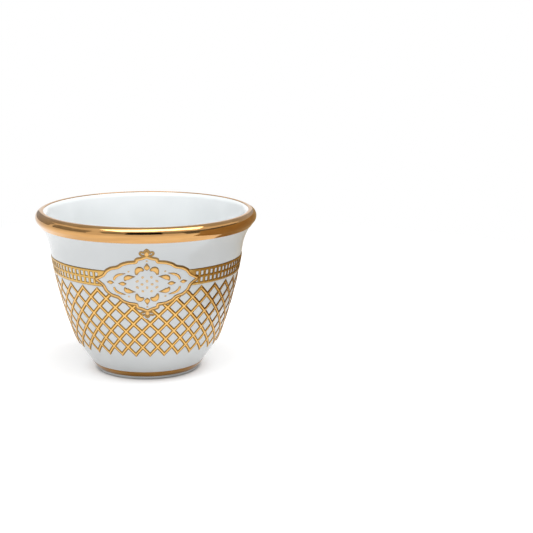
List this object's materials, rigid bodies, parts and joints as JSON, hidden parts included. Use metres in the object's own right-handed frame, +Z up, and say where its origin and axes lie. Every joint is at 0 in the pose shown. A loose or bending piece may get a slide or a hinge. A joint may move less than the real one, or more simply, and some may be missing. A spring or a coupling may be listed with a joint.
{
  "type": "arabic coffee cup",
  "caption": "Small handleless bell-shaped porcelain coffee cup with a flared rolled lip and foot ring, gilt at lip and foot, with a gilt trellis, band and lobed medallions.",
  "frame": {"origin": "centre of the circle on which the foot ring stands", "axes": "+Z up along the cup's axis, -Y towards the front medallion, +X to the right as seen from the front"},
  "size_m": [0.0678, 0.0678, 0.0502],
  "materials": {
    "porcelain": "gloss",
    "gold": "gloss"
  },
  "bodies": {
    "root": {"porcelain_body": "porcelain", "rim_gilding": "gold", "foot_gilding": "gold", "trellis": "gold", "grid_band_1": "gold", "medallion_frame_1": "gold", "medallion_petals_1": "gold", "grid_band_2": "gold", "medallion_frame_2": "gold", "medallion_petals_2": "gold", "grid_band_3": "gold", "medallion_frame_3": "gold", "medallion_petals_3": "gold"}
  },
  "joints": []
}
